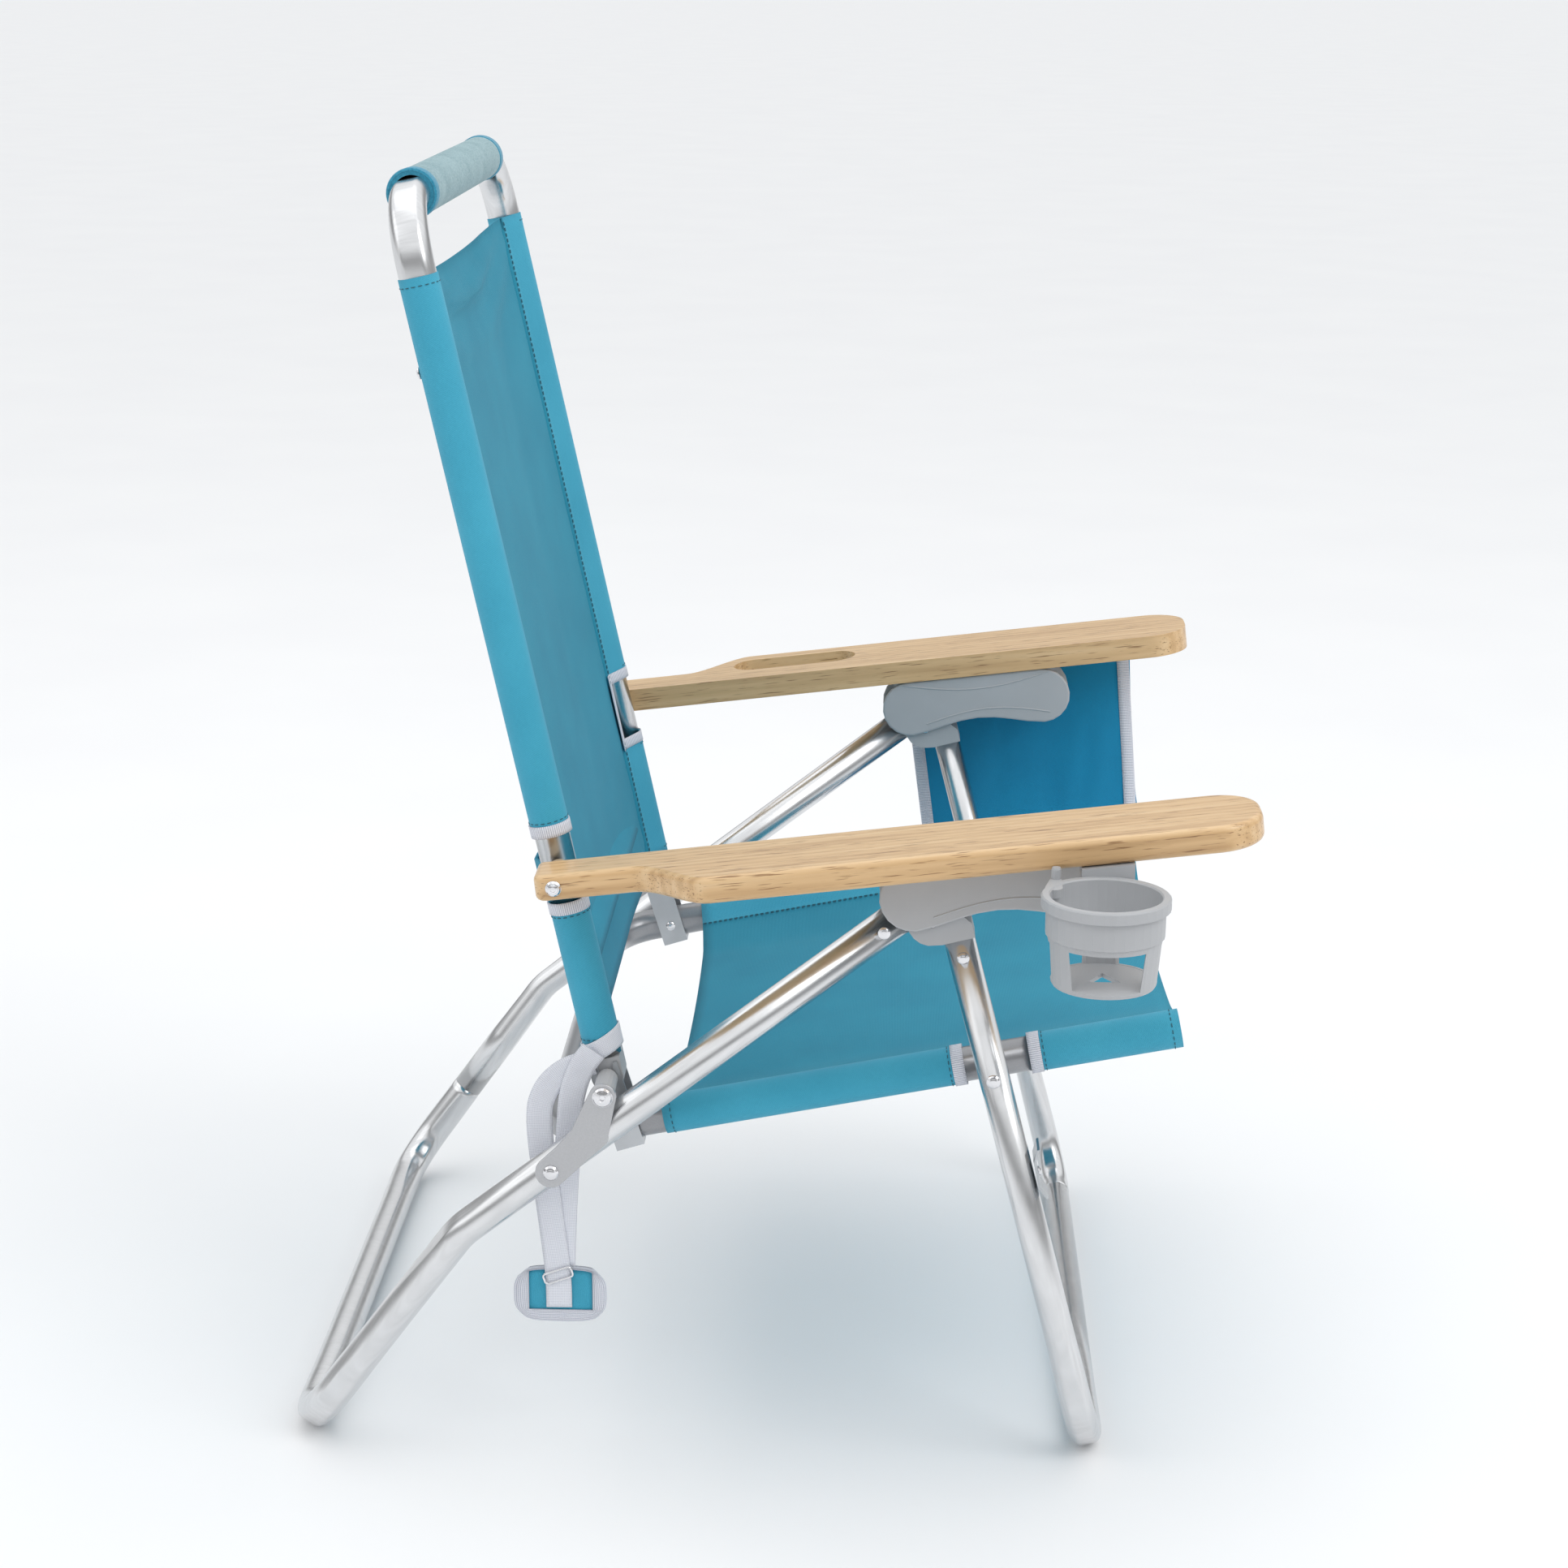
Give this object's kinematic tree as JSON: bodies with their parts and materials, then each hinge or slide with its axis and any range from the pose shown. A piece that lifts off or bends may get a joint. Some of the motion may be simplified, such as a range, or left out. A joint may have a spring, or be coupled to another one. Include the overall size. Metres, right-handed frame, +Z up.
{
  "type": "folding beach chair",
  "caption": "Folding reclining beach chair with a tube frame, fabric sling seat and back, wooden armrests, swivelling cup holder, pouches and a carry strap.",
  "frame": {"origin": "on the ground, under the middle of the whole chair's box", "axes": "+Z up, X across the chair with +X to the sitter's left, the sitter faces -Y"},
  "size_m": [0.7718, 0.6969, 0.9321],
  "materials": {
    "polished_tube": "polished, with fine lengthwise drawing lines",
    "grey_paint": "smooth semi-gloss powder coat",
    "bright_steel": "pressed sheet, lightly brushed",
    "rivet_steel": "bright plated",
    "grey_plastic": "fine moulded texture",
    "oak": "lacquered straight grain",
    "teal_cloth": "woven, matt",
    "pouch_cloth": "woven, matt",
    "foam": "closed-cell foam, matt",
    "webbing": "ribbed webbing, matt"
  },
  "bodies": {
    "rear_frame": {"rear_leg_loop": "polished_tube", "rear_leg_left": "polished_tube", "rear_cap_right": "grey_plastic", "rear_cap_left": "grey_plastic", "leg_hinge_pin_right": "rivet_steel", "leg_hinge_pin_left": "rivet_steel", "lock_pin_right": "rivet_steel", "lock_pin_left": "rivet_steel", "rear_cap_rivet_right": "rivet_steel", "rear_cap_rivet_left": "rivet_steel", "plate_rivet_right": "rivet_steel", "plate_rivet_left": "rivet_steel"},
    "front_frame": {"front_leg_loop": "polished_tube", "front_leg_left": "polished_tube", "front_cap_right": "grey_plastic", "front_cap_left": "grey_plastic", "front_cap_rivet_right": "rivet_steel", "front_cap_rivet_left": "rivet_steel", "bottle_opener": "bright_steel", "opener_screw": "rivet_steel", "seat_rivet_right": "rivet_steel", "seat_rivet_left": "rivet_steel"},
    "seat_frame": {"seat_tube": "grey_paint", "seat_hanger_right": "bright_steel", "seat_hanger_left": "bright_steel", "hanger_rivet_right": "rivet_steel", "hanger_rivet_left": "rivet_steel", "seat_spacer_right": "grey_plastic", "seat_spacer_left": "grey_plastic", "seat_sling": "teal_cloth"},
    "hinge_plates": {"link_plate_right": "grey_paint", "link_plate_left": "grey_paint"},
    "pivot_bolts": {"pivot_bolt_right": "rivet_steel", "pivot_bolt_left": "rivet_steel", "pivot_spacer_right": "grey_plastic", "pivot_spacer_left": "grey_plastic"},
    "back_frame": {"back_tube": "polished_tube", "handle_grip": "foam", "back_tube_end_right": "grey_plastic", "back_tube_end_left": "grey_plastic", "sleeve_screw_right": "rivet_steel", "sleeve_screw_left": "rivet_steel", "back_sling": "teal_cloth", "rear_pouch": "teal_cloth", "strap_wrap": "webbing"},
    "arm_pivots": {"arm_bolt_right": "rivet_steel", "arm_bolt_left": "rivet_steel"},
    "arms": {"armrest_right": "oak", "armrest_left": "oak", "housing_outer_right": "grey_plastic", "housing_outer_left": "grey_plastic", "housing_inner_right": "grey_plastic", "housing_inner_left": "grey_plastic", "side_pouch": "pouch_cloth", "cup_screw": "rivet_steel"},
    "cup_swivel": {"cup_holder": "grey_plastic"},
    "carry_strap": {"strap_front_run": "webbing", "strap_rear_run": "webbing", "strap_slider": "bright_steel", "strap_pad": "teal_cloth"}
  },
  "joints": [
    {"name": "fold", "type": "hinge", "parent": "rear_frame", "child": "front_frame", "pos_m": [0.0435, -0.12202, 0.424], "axis": [1, 0, 0], "range_deg": [0, 57]},
    {"name": "seat_hang", "type": "hinge", "parent": "front_frame", "child": "seat_frame", "pos_m": [0.0435, -0.16802, 0.305], "axis": [-1, 0, 0], "range_deg": [0, 75]},
    {"name": "plate_turn", "type": "hinge", "parent": "rear_frame", "child": "hinge_plates", "pos_m": [0.0435, 0.14758, 0.2315], "axis": [-1, 0, 0], "range_deg": [0, 125.2]},
    {"name": "bolt_turn", "type": "hinge", "parent": "hinge_plates", "child": "pivot_bolts", "pos_m": [0.0435, 0.10998, 0.29], "axis": [1, 0, 0], "range_deg": [0, 193.9]},
    {"name": "recline", "type": "hinge", "parent": "pivot_bolts", "child": "back_frame", "pos_m": [0.0435, 0.10998, 0.29], "axis": [-1, 0, 0], "range_deg": [0, 48]},
    {"name": "arm_fold", "type": "hinge", "parent": "back_frame", "child": "arm_pivots", "pos_m": [0.0435, 0.14298, 0.446], "axis": [-1, 0, 0], "range_deg": [0, 104.8]},
    {"name": "arm_level", "type": "hinge", "parent": "arm_pivots", "child": "arms", "pos_m": [0.0435, 0.14298, 0.446], "axis": [1, 0, 0], "range_deg": [0, 38.1]},
    {"name": "cup_swing", "type": "hinge", "parent": "arms", "child": "cup_swivel", "pos_m": [-0.2815, -0.24202, 0.4687], "axis": [0, 0.1212, 0.9926], "range_deg": [0, 70]},
    {"name": "strap_hang", "type": "hinge", "parent": "hinge_plates", "child": "carry_strap", "pos_m": [0.0435, 0.10998, 0.29], "axis": [1, 0, 0], "range_deg": [0, 119.8]}
  ],
  "couplings": [
    {"joint": "seat_hang", "follows": "fold", "ratio": 1.315},
    {"joint": "plate_turn", "follows": "fold", "ratio": 2.195},
    {"joint": "bolt_turn", "follows": "fold", "ratio": 3.4},
    {"joint": "strap_hang", "follows": "fold", "ratio": 2.1},
    {"joint": "arm_fold", "follows": "fold", "ratio": 1.8383},
    {"joint": "arm_level", "follows": "recline", "ratio": 0.7925}
  ]
}
